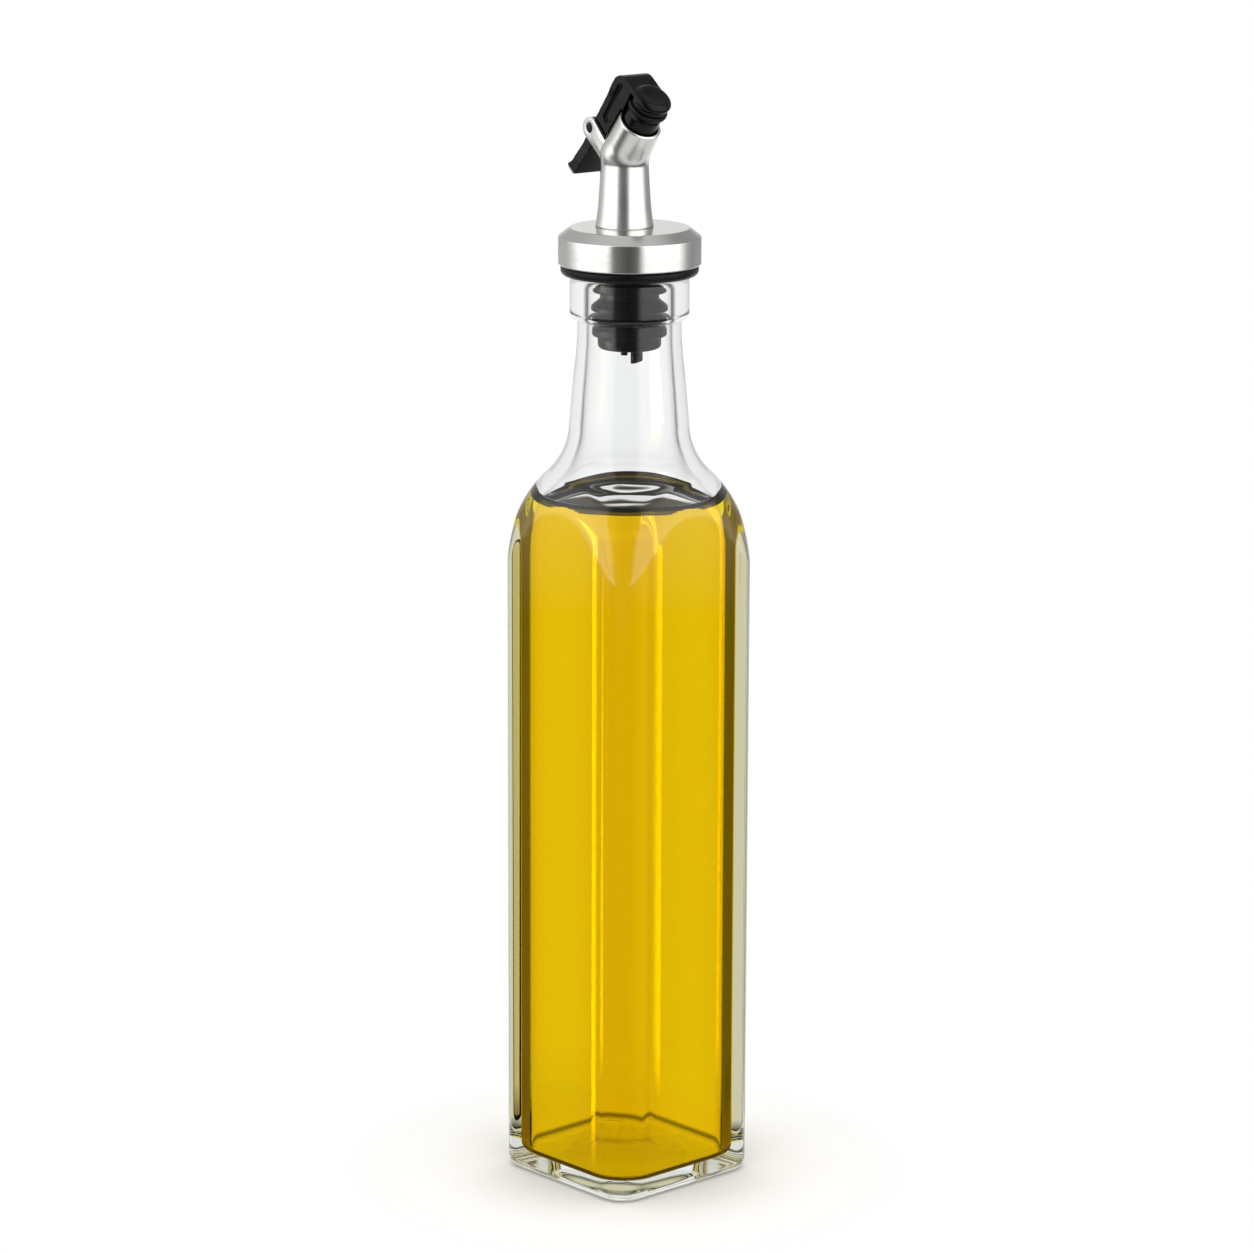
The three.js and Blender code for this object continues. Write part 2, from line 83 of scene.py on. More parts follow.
# Pourer, in its own frame: X towards the mouth, turned about the bottle's axis.
POURER_TURN = -5 * DEG
COLUMN_X = -2.5
BARREL_TILT = 37.3 * DEG
MOUTH = (4.5, 313.0)
MOUTH_R = 6.35
MOUTH_BORE_R = 5.4
ELBOW_R = 6.85
ELBOW_DEPTH = (MOUTH[0] - COLUMN_X) / math.sin(BARREL_TILT)
ELBOW_Z = MOUTH[1] - ELBOW_DEPTH * math.cos(BARREL_TILT)
CREASE = 0.9  # softness of the crease in front of the elbow
FAN_REACH = 1.35 * ELBOW_R  # from the column's axis to the line that the elbow's sections turn about
SECTION_REACH = 14.0  # past any point of a section of the spout
HINGE_ACROSS = -11.6
HINGE_UP = -11.7
EAR_R = 3.1
EAR_IN = 4.8
EAR_OUT = 5.8
EAR_ROUND = 0.22
EAR_ROOTS = (-3.5, 300.2), (-2.5, 306.0)
PIN_HOLE_R = 1.4


def linear(code):
    """A sRGB hex value as linear red, green, blue and alpha."""
    values = [int(code[i : i + 2], 16) / 255 for i in (0, 2, 4)]
    return [v / 12.92 if v <= 0.04045 else ((v + 0.055) / 1.055) ** 2.4 for v in values] + [1.0]


# Shapes.


def rounded(points, radius=0.3, steps=5):
    """An open profile with each inner corner replaced by a short curve, (1-s)^2 A + 2s(1-s) V + s^2 B,
    from A to B at the radius's distance from the corner V, with one guard point before and after.
    A point may carry its own radius as a third number."""
    points = [tuple(p) if len(p) == 3 else (*p, radius) for p in points]
    made = [np.array(points[0][:2])]
    for before, here, after in zip(points, points[1:], points[2:]):
        v = np.array(here[:2])
        a, b = np.array(before[:2]) - v, np.array(after[:2]) - v
        la, lb = np.hypot(*a), np.hypot(*b)
        reach = min(here[2], 0.4 * la, 0.4 * lb)
        if reach < 1e-4:
            made.append(v)
            continue
        guard = min(reach * 1.2, 0.49 * la), min(reach * 1.2, 0.49 * lb)
        a, b = a / la, b / lb
        made.append(v + a * guard[0])
        for s in np.linspace(0, 1, steps + 1):
            made.append((1 - s) ** 2 * (v + a * reach) + 2 * s * (1 - s) * v + s**2 * (v + b * reach))
        made.append(v + b * guard[1])
    made.append(np.array(points[-1][:2]))
    return np.array(made)


def arc(x, y, r, start, end, steps):
    """Points on a circle's arc, both ends included."""
    a = np.linspace(start, end, steps + 1)
    return np.stack([x + r * np.cos(a), y + r * np.sin(a)], 1)


def ring_grid(profile, steps=STEPS):
    """A profile of radius and height turned round the Z axis: (r cos t, r sin t, z)."""
    t = np.linspace(0, 2 * math.pi, steps, endpoint=False)
    r, z = profile[:, :1], profile[:, 1:]
    return np.stack([r * np.cos(t), r * np.sin(t), z + 0 * t], -1)


def square_reach(angle, half, corner):
    """Distance from the centre to a rounded square's edge: half / cos on the flat, and the far side
    of the corner's circle past it."""
    off = np.abs(angle - np.round(angle / (math.pi / 2)) * math.pi / 2)
    flat = half - corner
    c, s = np.cos(off), np.sin(off)
    turn = flat * (c + s) + np.sqrt(np.maximum(corner**2 - (flat * (c - s)) ** 2, 0))
    return np.where(half * s <= flat * c, half / c, turn)


def soft_min(a, b, blend):
    """The smaller of two values, with the crease where they are equal rounded over blend."""
    share = np.maximum(blend - np.abs(a - b), 0) / np.maximum(blend, 1e-6)
    return np.minimum(a, b) - share * share * blend / 4


def squared_grid(profile, half, corner):
    """A profile of radius and height carried round a rounded square. Under the shoulder the radius is
    measured at the corner, and the section shrinks evenly with it; inside the punt it is round; from
    the shoulder up it is the smaller of the square and the round section. Angles crowd at corners."""
    even = np.linspace(0, 2 * math.pi, SECTION_STEPS, endpoint=False)
    angle = (even + CORNER_CROWDING * np.sin(4 * even))[None, :]
    r, z = profile[:, :1], profile[:, 1:]
    inset = np.maximum(square_reach(math.pi / 4, half, corner) - r, 0)
    low = square_reach(angle, half - inset, np.maximum(corner - inset, LEAST_CORNER))
    blend = SHOULDER_BLEND * np.clip((z - SHOULDER_Z) / BLEND_RISE, 0, 1)
    high = soft_min(square_reach(angle, half, corner), r, blend)
    reach = np.where(z >= SHOULDER_Z, high, np.where(r > PUNT_R + PUNT_MARGIN, low, r + 0 * angle))
    return np.stack([reach * np.cos(angle), reach * np.sin(angle), z + 0 * angle], -1)


def skin(name, grid, closed_rows=False):
    """A mesh from a grid of rows of points, each row a closed loop. The first and last rows are
    joined where closed_rows is set; otherwise they are poles, or are closed by a flat face. The mesh
    is scaled to metres, its doubled points are merged, and its faces are turned outwards."""
    rows, cols = grid.shape[:2]
    count = rows if closed_rows else rows - 1
    i = np.arange(count)[:, None] * cols
    j = np.arange(cols)[None, :]
    up = (i + cols) % (rows * cols)
    quads = np.stack([i + j, i + (j + 1) % cols, up + (j + 1) % cols, up + j], -1).reshape(-1, 4)
    mesh = bpy.data.meshes.new(name)
    mesh.from_pydata((grid.reshape(-1, 3) * MM).tolist(), [], quads.tolist())
    made = bmesh.new()
    made.from_mesh(mesh)
    bmesh.ops.remove_doubles(made, verts=made.verts, dist=1e-7)
    bmesh.ops.holes_fill(made, edges=[e for e in made.edges if e.is_boundary], sides=0)
    bmesh.ops.recalc_face_normals(made, faces=made.faces)
    if made.calc_volume(signed=True) < 0:
        bmesh.ops.reverse_faces(made, faces=made.faces)
    made.to_mesh(mesh)
    made.free()
    mesh.shade_smooth()
    piece = bpy.data.objects.new(name, mesh)
    bpy.context.scene.collection.objects.link(piece)
    return piece


def in_pourer(grid):
    """Turns a grid from the pourer's frame to the bottle's."""
    c, s = math.cos(POURER_TURN), math.sin(POURER_TURN)
    x, y, z = grid[..., 0], grid[..., 1], grid[..., 2]
    return np.stack([c * x - s * y, s * x + c * y, z], -1)


def on_barrel(grid):
    """Places a grid made round the Z axis, from the mouth, on the barrel's own axis."""
    c, s = math.cos(BARREL_TILT), math.sin(BARREL_TILT)
    x, y, z = grid[..., 0], grid[..., 1], grid[..., 2]
    return in_pourer(np.stack([c * x + s * z + MOUTH[0], y, c * z - s * x + MOUTH[1]], -1))


def finish_piece(piece, material, body, slot, *nodes):
    """Gives a piece its material and its body, and hides the CAD nodes that it stands for. slot is not used.
    """
    if material:
        piece.data.materials.append(material)
    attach(piece, body)
    if nodes:
        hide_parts(*nodes)


# Materials.

COLOURS = {"data_type": "RGBA"}  # makes a Mix node mix colours, at sockets 6 and 7 and output 2
ONCE = {"operation": "GREATER_THAN", 1: 0.5}  # gives 1 where a ray's depth is 1 or more
TWICE = {"operation": "GREATER_THAN", 1: 1.5}
THRICE = {"operation": "GREATER_THAN", 1: 2.5}

DYE_MIDDLE = 23.6  # distance from the axis where the oil has its first colour
CORNER_SHADE_REACH = 28.2  # and where it has its second, darker colour: painted shade towards the corners
PAINTED_HEEL_LINE = FLOOR_Z + 1.2  # height of the painted shade line round the oil's heel
HEEL_CORE = 0.3  # from the line's middle to where it starts to fade
HEEL_EDGE = 1.2  # and to where it ends
HEEL_SHADE = 0.1

# Painted light: share of often turned light that a glass wall lets out, by how flat the light meets it.
PAINTED_LIGHT_BANDS = [
    (0.0, 0.8), (0.3, 0.85), (0.595, 0.95), (0.615, 0.5), (0.64, 0.1), (0.75, 0.05), (0.86, 0.6), (1.0, 0.7),
]
PAINTED_LIGHT_RISE = 6.0  # below the oil's level, where that light starts to lose its yellow
FOOT_LOW = 1.0  # below this height least of the painted light comes out: painted shade in the foot
FOOT_HIGH = 4.0
FOOT_SHADE = 0.15

DOME = 4.0  # slope of the level's shaded dome for each metre from the axis
RIPPLE = 0.06  # slope of its ripples
RIPPLE_SCALE = 110.0  # ripples in a metre
MIRROR_STARTS = {"From Min": 0.45, "From Max": 0.7}  # how flat light meets the level

BEHIND_GLASS = (0.3, 0.42, 0.85, 1)  # tint of black pieces' gloss inside the bottle
SLOW_GRAIN = 12  # grains in one patch of even roughness
PATCHES = {"From Min": 0.3, "From Max": 0.7}  # the part of the noise that moves the roughness


def grey(value):
    return (value, value, value, 1)


def add(tree, kind, settings=None, stops=None, **links):
    """Adds a node, sets its properties and sockets, and links the rest. A link comes from a socket,
    or from a node's first output. It is named for its socket, with underscores for spaces, or by an
    underscore and the socket's number. stops are a colour ramp's pairs of a place and a colour, the
    first at 0 and the last at 1."""
    node = tree.nodes.new(kind)
    for key, value in (settings or {}).items():
        if isinstance(key, str) and hasattr(node, key):
            setattr(node, key, value)
        else:
            node.inputs[key].default_value = value
    if stops:
        elements = node.color_ramp.elements
        for place, _ in stops[1:-1]:
            elements.new(place)
        for element, (_, colour) in zip(elements, stops):
            element.color = colour
    for key, source in links.items():
        socket = int(key[1:]) if key[0] == "_" else key.replace("_", " ")
        output = source.outputs[0] if isinstance(source, bpy.types.Node) else source
        tree.links.new(output, node.inputs[socket])
    return node


def new_material(name):
    material = bpy.data.materials.new(name)
    material.use_nodes = True
    material.node_tree.nodes.clear()
    return material, material.node_tree


def oil_colour_and_painted_shade(tree, path, tint):
    """What colours light at the oil's side: tint's first colour, the oil's own, at the flat sides' middle;
    painted shade towards the corners, where tint's second, darker colour stands; and a painted shade line
    round the heel, where the wall turns under. Light that a mirror-like inner wall turned back isn't dyed
    again."""
    back = add(tree, "ShaderNodeMath", ONCE, _0=path.outputs["Glossy Depth"])
    place = add(tree, "ShaderNodeTexCoord").outputs["Object"]
    flat = add(tree, "ShaderNodeVectorMath", {"operation": "MULTIPLY", 1: (1, 1, 0)}, _0=place)
    away = add(tree, "ShaderNodeVectorMath", {"operation": "LENGTH"}, _0=flat).outputs["Value"]
    across = {"From Min": DYE_MIDDLE * MM, "From Max": CORNER_SHADE_REACH * MM}
    corner = add(tree, "ShaderNodeMapRange", across, Value=away)
    hue = add(tree, "ShaderNodeMix", {**COLOURS, 6: tint[0], 7: tint[1]}, Factor=corner)
    height = add(tree, "ShaderNodeSeparateXYZ", None, Vector=place).outputs["Z"]
    off = add(tree, "ShaderNodeMath", {"operation": "SUBTRACT", 1: PAINTED_HEEL_LINE * MM}, _0=height)
    near = add(tree, "ShaderNodeMath", {"operation": "ABSOLUTE"}, _0=off)
    fading = {"From Min": HEEL_CORE * MM, "From Max": HEEL_EDGE * MM, "To Min": HEEL_SHADE}
    line = add(tree, "ShaderNodeMapRange", fading, Value=near)
    # painted shade: a dark line round the heel
    painted_shade_hue = add(tree, "ShaderNodeVectorMath", {"operation": "SCALE"}, _0=hue.outputs[2], Scale=line)
    return add(tree, "ShaderNodeMix", {**COLOURS, 7: grey(1)}, Factor=back, _6=painted_shade_hue).outputs[2]


def let_out(tree, path, body, painted_light):
    """The glass, but light that was turned back inside it three times is let straight out as painted light.
    Its share goes by how flat it meets the wall, in bright and dark bands, and is less in the foot, which is
    painted shade;
    its colour is the last argument's first above the oil's level and its second below it."""
    often = add(tree, "ShaderNodeMath", THRICE, _0=path.outputs["Glossy Depth"])
    view = add(tree, "ShaderNodeLayerWeight", {"Blend": 0.5}).outputs["Facing"]
    bands = [(place, grey(value)) for place, value in PAINTED_LIGHT_BANDS]
    share = add(tree, "ShaderNodeValToRGB", stops=bands, Fac=view)
    place = add(tree, "ShaderNodeTexCoord").outputs["Object"]
    height = add(tree, "ShaderNodeSeparateXYZ", None, Vector=place).outputs["Z"]
    drying = {"From Min": (OIL_TOP - PAINTED_LIGHT_RISE) * MM, "From Max": OIL_TOP * MM}
    dry = add(tree, "ShaderNodeMapRange", drying, Value=height)
    hue = add(tree, "ShaderNodeMix", {**COLOURS, 6: painted_light[1], 7: painted_light[0]}, Factor=dry)
    foot = {"From Min": FOOT_LOW * MM, "From Max": FOOT_HIGH * MM, "To Min": FOOT_SHADE}
    shaded = add(tree, "ShaderNodeMapRange", foot, Value=height)
    strength = add(tree, "ShaderNodeMath", {"operation": "MULTIPLY"}, _0=share, _1=shaded)
    colour = add(tree, "ShaderNodeVectorMath", {"operation": "SCALE"}, _0=hue.outputs[2], Scale=strength)
    # painted light: what lies behind, let through brightened or dimmed by the bands, and darker in the foot
    out = add(tree, "ShaderNodeBsdfTransparent", None, Color=colour)
    return add(tree, "ShaderNodeMixShader", None, _0=often, _1=body, _2=out)


def output_with_shade(tree, path, surface, shade):
    """The material's output. Shadow rays pass through the surface and take its shade."""
    through = add(tree, "ShaderNodeBsdfTransparent", {"Color": shade})
    mix = add(tree, "ShaderNodeMixShader", None, _0=path.outputs["Is Shadow Ray"], _1=surface, _2=through)
    return add(tree, "ShaderNodeOutputMaterial", None, Surface=mix)


def clear_solid(name, settings, shade, absorb, tint=None, painted_light=None):
    """Clear glass or liquid that throws a light shadow of the given shade. absorb is the colour and
    density that dye light on its way through. tint dyes light at the surface and also paints shade, darker
    towards the corners and in a line round the heel. The last argument colours the painted light that is
    let out where light was turned back often."""
    material, tree = new_material(name)
    body = add(tree, "ShaderNodeBsdfPrincipled", {"Transmission Weight": 1.0, **settings})
    path = add(tree, "ShaderNodeLightPath")
    if tint:
        tree.links.new(oil_colour_and_painted_shade(tree, path, tint), body.inputs["Base Color"])
    surface = let_out(tree, path, body, painted_light) if painted_light else body
    output = output_with_shade(tree, path, surface, shade)
    volume = add(tree, "ShaderNodeVolumeAbsorption", {"Color": absorb[0], "Density": absorb[1]})
    tree.links.new(volume.outputs[0], output.inputs["Volume"])
    return material


def skimmed_surface(name, deep, shade):
    """The oil's level: a mirror where light meets it flat, as a liquid is, and clear to the deep
    colour of the oil where light meets it steeply, and from beneath. It is shaded as a very flat dome
    with slow ripples, which break up what it mirrors: the normal is (DOME x, DOME y, 1) plus noise."""
    material, tree = new_material(name)
    place = add(tree, "ShaderNodeTexCoord").outputs["Object"]
    noise = add(tree, "ShaderNodeTexNoise", {"Scale": RIPPLE_SCALE, "Detail": 1.0}, Vector=place)
    evened = {"operation": "MULTIPLY_ADD", 1: (RIPPLE, RIPPLE, 0), 2: (-RIPPLE / 2, -RIPPLE / 2, 0)}
    ripple = add(tree, "ShaderNodeVectorMath", evened, _0=noise.outputs["Color"])
    domed = {"operation": "MULTIPLY_ADD", 1: (DOME, DOME, 0), 2: (0, 0, 1)}
    dome = add(tree, "ShaderNodeVectorMath", domed, _0=place)
    tilt = add(tree, "ShaderNodeVectorMath", {"operation": "ADD"}, _0=dome, _1=ripple)
    normal = add(tree, "ShaderNodeVectorMath", {"operation": "NORMALIZE"}, _0=tilt)
    mirror = add(tree, "ShaderNodeBsdfGlossy", {"Color": grey(0.95), "Roughness": 0.02}, Normal=normal)
    down = add(tree, "ShaderNodeBsdfTransparent", {"Color": deep})
    view = add(tree, "ShaderNodeLayerWeight", {"Blend": 0.5}).outputs["Facing"]
    flat = add(tree, "ShaderNodeMapRange", MIRROR_STARTS, Value=view)
    beneath = add(tree, "ShaderNodeNewGeometry").outputs["Backfacing"]
    gloss = add(tree, "ShaderNodeMath", {"operation": "SUBTRACT", "use_clamp": True}, _0=flat, _1=beneath)
    seen = add(tree, "ShaderNodeMixShader", None, _0=gloss, _1=down, _2=mirror)
    output_with_shade(tree, add(tree, "ShaderNodeLightPath"), seen, shade)
    return material


def grained(name, settings, grain, height, rough=(0.0, 0.0), stretch=(1, 1, 1), behind=None):
    """An opaque surface with a fine grain: noise of the given grain in millimetres gives a bump of
    the given height in millimetres, and a slower noise moves the roughness between two values.
    behind is the gloss's tint where the surface is seen through glass."""
    material, tree = new_material(name)
    body = add(tree, "ShaderNodeBsdfPrincipled", settings)
    if behind:
        path = add(tree, "ShaderNodeLightPath")
        inside = add(tree, "ShaderNodeMath", ONCE, _0=path.outputs["Transmission Depth"])
        gloss = add(tree, "ShaderNodeMix", {**COLOURS, 6: grey(1), 7: behind}, Factor=inside)
        tree.links.new(gloss.outputs[2], body.inputs["Specular Tint"])
    place = add(tree, "ShaderNodeTexCoord").outputs["Object"]
    sized = add(tree, "ShaderNodeMapping", {"Scale": stretch}, Vector=place)
    fine = add(tree, "ShaderNodeTexNoise", {"Scale": 1 / (grain * MM), "Detail": 3.0}, Vector=sized)
    bump = add(tree, "ShaderNodeBump", {"Strength": 1.0, "Distance": height * MM}, Height=fine)
    tree.links.new(bump.outputs[0], body.inputs["Normal"])
    patch = {"Scale": 1 / (grain * SLOW_GRAIN * MM), "Detail": 2.0}
    slow = add(tree, "ShaderNodeTexNoise", patch, Vector=sized)
    spread = {**PATCHES, "To Min": rough[0], "To Max": rough[1]}
    roughness = add(tree, "ShaderNodeMapRange", spread, Value=slow)
    tree.links.new(roughness.outputs[0], body.inputs["Roughness"])
    add(tree, "ShaderNodeOutputMaterial", None, Surface=body)
    return material


# Pressed soda-lime glass: clear and hard edged, with a trace of green where it is thick.
bottle_glass = clear_solid(
    "pressed_soda_lime_glass",
    {"Base Color": linear("feffff"), "Roughness": 0.0, "IOR": 1.5},
    (0.6, 0.6, 0.57, 1),
    ((0.7, 0.9, 0.7, 1), 2.0),
    # painted light let out of the glass: white above the oil's level, pale yellow below it
    painted_light=((1.0, 1.0, 0.99, 1), (1.0, 0.94, 0.66, 1)),
)
# Refined olive oil: dyes all that is seen through it, and bends nothing, as in the photo.
oil_liquid = clear_solid(
    "refined_olive_oil",
    {"Roughness": 0.0, "IOR": 1.0},
    (0.8, 0.68, 0.4, 1),
    ((0.9, 0.8, 0.2, 1), 8.0),
    # the oil's yellow at the sides' middle, and a darker one towards the corners that is painted shade
    tint=(linear("f2ca00"), linear("ecbc00")),
)
# The oil's surface: a mirror to a low eye, dark olive to a high one.
oil_surface = skimmed_surface("refined_olive_oil_surface", (0.12, 0.1, 0.03, 1), (0.93, 0.86, 0.6, 1))
# Moulded rubber: black, satin, with a very fine mould grain.
stopper_rubber = grained(
    "moulded_black_rubber",
    {"Base Color": linear("070707"), "IOR": 1.5, "Specular IOR Level": 0.18},
    0.25,
    0.006,
    (0.26, 0.36),
    behind=BEHIND_GLASS,
)
# Injection-moulded ABS: black, a little glossier than the rubber.
lever_plastic = grained(
    "moulded_black_abs",
    {"Base Color": linear("050505"), "IOR": 1.5, "Specular IOR Level": 0.18},
    0.3,
    0.006,
    (0.18, 0.28),
    behind=BEHIND_GLASS,
)
# Spun stainless steel: polished, with faint turning lines round the collar.
collar_steel = grained(
    "spun_stainless_steel",
    {"Base Color": linear("d6d5d2"), "Metallic": 1.0},
    0.5,
    0.002,
    (0.13, 0.2),
    stretch=(0.1, 0.1, 3),
)
# Cast zinc, nickel plated: satin, softly uneven like a casting that was tumbled.
spout_metal = grained(
    "plated_zinc_casting", {"Base Color": linear("d9d8d4"), "Metallic": 1.0}, 1.1, 0.02, (0.2, 0.3)
)


# Bottle and oil.


def shoulder_profile(inset, neck_r, steps):
    """The dome and the fillet into the neck, inset mm inside the outer surface: two arcs that meet
    at the shoulder's lean."""
    centre = square_reach(math.pi / 4, SIDE / 2, OUTER_CORNER) - SHOULDER_ARC
    dome = arc(centre, SHOULDER_Z, SHOULDER_ARC - inset, 0, SHOULDER_TURN, steps)
    r = (dome[-1, 0] - neck_r) / (1 - math.cos(SHOULDER_TURN))
    x = dome[-1, 0] + r * math.cos(SHOULDER_TURN)
    z = dome[-1, 1] + r * math.sin(SHOULDER_TURN)
    fillet = arc(x, z, r, math.pi + SHOULDER_TURN, math.pi, steps // 2)
    return np.concatenate([dome, fillet[1:]])


def straight(start, end, steps):
    """Points along a straight line, both ends left out."""
    s = np.linspace(0, 1, steps + 2)[1:-1, None]
    return np.array(start) * (1 - s) + np.array(end) * s


def inner_profile(inset, drop):
    """The hollow's profile, inset mm from the outer surface, with the floor lowered by drop."""
    half = SIDE / 2 - inset
    corner = INNER_CORNER + WALL - inset
    reach = float(square_reach(math.pi / 4, half, corner))
    floor = FLOOR_Z - drop
    heel = arc(reach - FLOOR_ROUND, floor + FLOOR_ROUND, FLOOR_ROUND, -math.pi / 2, 0, 12)
    dome = shoulder_profile(inset, BORE_LOW_R + WALL - inset, 64)
    return half, corner, floor, heel, dome


# The neck and the mouth: radius, height and the corner's own radius.
NECK_OUTSIDE = [
    (NECK_R, 229.0), (15.65, 244.0, 5.0), (15.05, 251.0, 3.0), (NECK_WAIST_R, FINISH_Z, 0.35),
    (NECK_WAIST_R + 0.4, FINISH_Z + 0.05, 0.3),
]
MOUTH_OUTSIDE = [
    (FINISH_R, FINISH_Z + 2.4), (FINISH_R, FINISH_TOP - FINISH_ROUND, 0.9),
    (FINISH_R - 0.5, FINISH_TOP - 0.4, 0.8), (FINISH_R - FINISH_ROUND, FINISH_TOP),
]
NECK_INSIDE = [
    (BORE_LOW_R, 227.0), (12.6, 240.0, 5.0), (12.0, 250.0, 3.0), (BORE_TOP_R, FINISH_TOP - 1.0, 0.3),
    (BORE_TOP_R + 0.3, FINISH_TOP - 0.3, 0.3), (BORE_TOP_R + 1.0, FINISH_TOP),
]


def make_bottle():
    """The outer profile from the punt's middle up to the mouth, PUNT_DEPTH (1 + cos(pi s^2)) / 2 high
    in the punt, and the inner one back down to the middle of the floor."""
    half = SIDE / 2
    reach = float(square_reach(math.pi / 4, half, OUTER_CORNER))
    punt = [(PUNT_R * s, PUNT_DEPTH * (1 + math.cos(math.pi * s**2)) / 2) for s in np.linspace(0, 1, 12)]
    outer = np.concatenate(
        [
            punt,
            arc(reach - HEEL, HEEL, HEEL, -math.pi / 2, 0, 12),
            straight((reach, HEEL), (reach, SHOULDER_Z), 6),
            shoulder_profile(0, NECK_R, 64),
            rounded(NECK_OUTSIDE)[1:],
            arc(FINISH_R - FINISH_LOW_ROUND, FINISH_Z + FINISH_LOW_ROUND, FINISH_LOW_ROUND, -0.9, 0, 8),
            rounded(MOUTH_OUTSIDE),
        ]
    )
    _, corner, floor, heel, dome = inner_profile(WALL, 0)
    inner = np.concatenate(
        [
            [(0, floor), (PUNT_R * 0.6, floor), (PUNT_R, floor)],
            heel,
            straight(heel[-1], dome[0], 6),
            dome,
            rounded(NECK_INSIDE)[1:],
        ]
    )
    outside = squared_grid(outer, half, OUTER_CORNER)
    inside = squared_grid(inner, half - WALL, INNER_CORNER)
    return skin("bottle", np.concatenate([outside, inside[::-1]]))


def make_oil():
    """The oil goes OIL_REACH into the glass, and its level rises at the glass as
    MENISCUS exp(-d / MENISCUS_FADE), d being the distance from the glass."""
    half, corner, floor, heel, dome = inner_profile(WALL - OIL_REACH, -FLOOR_GAP)
    edge = OIL_TOP + MENISCUS
    wet = dome[dome[:, 1] < edge - 0.05]
    last = [np.interp(edge, dome[:, 1], dome[:, 0]), edge]
    bottom = [(0, floor), (PUNT_R * 0.6, floor), (PUNT_R, floor)]
    profile = np.concatenate([bottom, heel, straight(heel[-1], dome[0], 6), wet, [last]])
    side = squared_grid(profile, half, corner)
    rim = side[-1]
    share = np.concatenate([np.linspace(0, 0.22, 22)[1:], [0.3, 0.45, 0.6, 0.8, 1.0]])[:, None, None]
    top = rim[None] * (1 - share)
    away = share[..., 0] * np.hypot(rim[:, 0], rim[:, 1])[None]
    top[..., 2] = OIL_TOP + MENISCUS * np.exp(-away / MENISCUS_FADE)
    top[-1] = (0, 0, OIL_TOP)
    piece = skin("olive_oil", np.concatenate([side, top]))
    piece.data.materials.append(oil_liquid)
    piece.data.materials.append(oil_surface)
    for face in piece.data.polygons:  # the level's faces look up, and the side's don't
        face.material_index = int(face.center.z > (OIL_TOP - 0.05) * MM and face.normal.z > 0.2)
    return piece


finish_piece(make_bottle(), bottle_glass, "bottle", "clear_glass", "glass_bottle")
finish_piece(make_oil(), None, "bottle", "oil", "oil")


# Stopper, tubes and collar.

STOPPER = [
    (0, 248.0), (8.4, 248.0, 0.5), (9.1, 248.8, 0.5), (9.2, 251.2, 0.3), (9.0, 251.8, 0.2),
    (10.5, 252.0, 0.2), (10.8, 252.5, 0.3), (10.75, 254.3, 0.3), (9.2, 255.0, 0.3),
    (9.2, 255.8, 0.2), (10.6, 256.0, 0.25), (10.8, 256.6, 0.3), (10.8, 258.0, 0.3),
    (9.2, 258.6, 0.3), (9.2, 259.4, 0.2), (10.9, 259.6, 0.25), (11.1, 260.1, 0.3),
    (11.05, 261.0, 0.3), (8.5, 262.9, 0.5), (8.5, 264.7, 0.4), (10.3, 264.8, 0.3),
    (10.7, 265.3, 0.3), (10.7, 269.4, 0.2), (19.2, 269.4, 0.7), (19.9, 270.3, 0.7),
    (19.9, 271.6, 0.5), (19.4, 272.2, 0.3), (19.1, 272.2, 0.05), (19.1, 279.5), (16.3, 281.5),
    (0, 281.5),
]
COLLAR = [
    (0, 281.8), (16.6, 281.8), (19.4, 279.8), (19.4, 272.5, 0.05), (20.4, 272.5, 0.12), (20.6, 272.7, 0.12),
    (20.6, 280.4, 0.22), (17.2, 283.0, 0.3), (0, 283.0),
]

COLLAR_STEPS = 240

stopper = skin("rubber_stopper", ring_grid(rounded(STOPPER)))
collar = skin("steel_collar", ring_grid(rounded(COLLAR), COLLAR_STEPS))
finish_piece(stopper, stopper_rubber, "bottle", "black_rubber", "stopper")
finish_piece(collar, collar_steel, "bottle", "polished_steel", "collar")


TUBE_TOP = 249.0  # inside the stopper


def make_tube(name, x, outer, bore, low, cut):
    """A turned tube whose lower end is slanted: each point under the cut rises with its x."""
    wall = rounded([(bore, low), (outer, low), (outer, TUBE_TOP), (bore, TUBE_TOP)], 0.15)
    grid = ring_grid(np.concatenate([wall, [(bore, TUBE_TOP)]]), 48)
    near = np.clip((TUBE_TOP - grid[..., 2]) / (TUBE_TOP - low), 0, 1)
    grid[..., 2] -= near * cut * (1 - grid[..., 0] / outer) / 2
    grid[..., 0] += x
    return skin(name, in_pourer(grid), closed_rows=True)


vent = make_tube("vent_pipe", -2.5, 1.0, 0.5, 245.3, 0.0)
pour = make_tube("pour_pipe", 3.4, 1.7, 1.1, 245.0, 1.6)
finish_piece(vent, lever_plastic, "bottle", "black_plastic", "vent_tube")
finish_piece(pour, lever_plastic, "bottle", "black_plastic", "pour_tube")


# Spout.

COLUMN_FOOT = 283.0
COLUMN_Z = np.array([COLUMN_FOOT, 285.5, 289.0, 295.0, 301.0, 304.0])
COLUMN_R = np.array([8.4, 8.0, 7.6, 7.2, 6.87, 6.85])
LIP = [  # the barrel's end, along its axis from the mouth
    (MOUTH_R, -0.05), (MOUTH_R, 0.12, 0.15), (MOUTH_R - 0.3, 0.45, 0.25), (MOUTH_BORE_R + 0.2, 0.55, 0.25),
    (MOUTH_BORE_R, 0.1, 0.25), (MOUTH_BORE_R, -8), (0, -8),
]


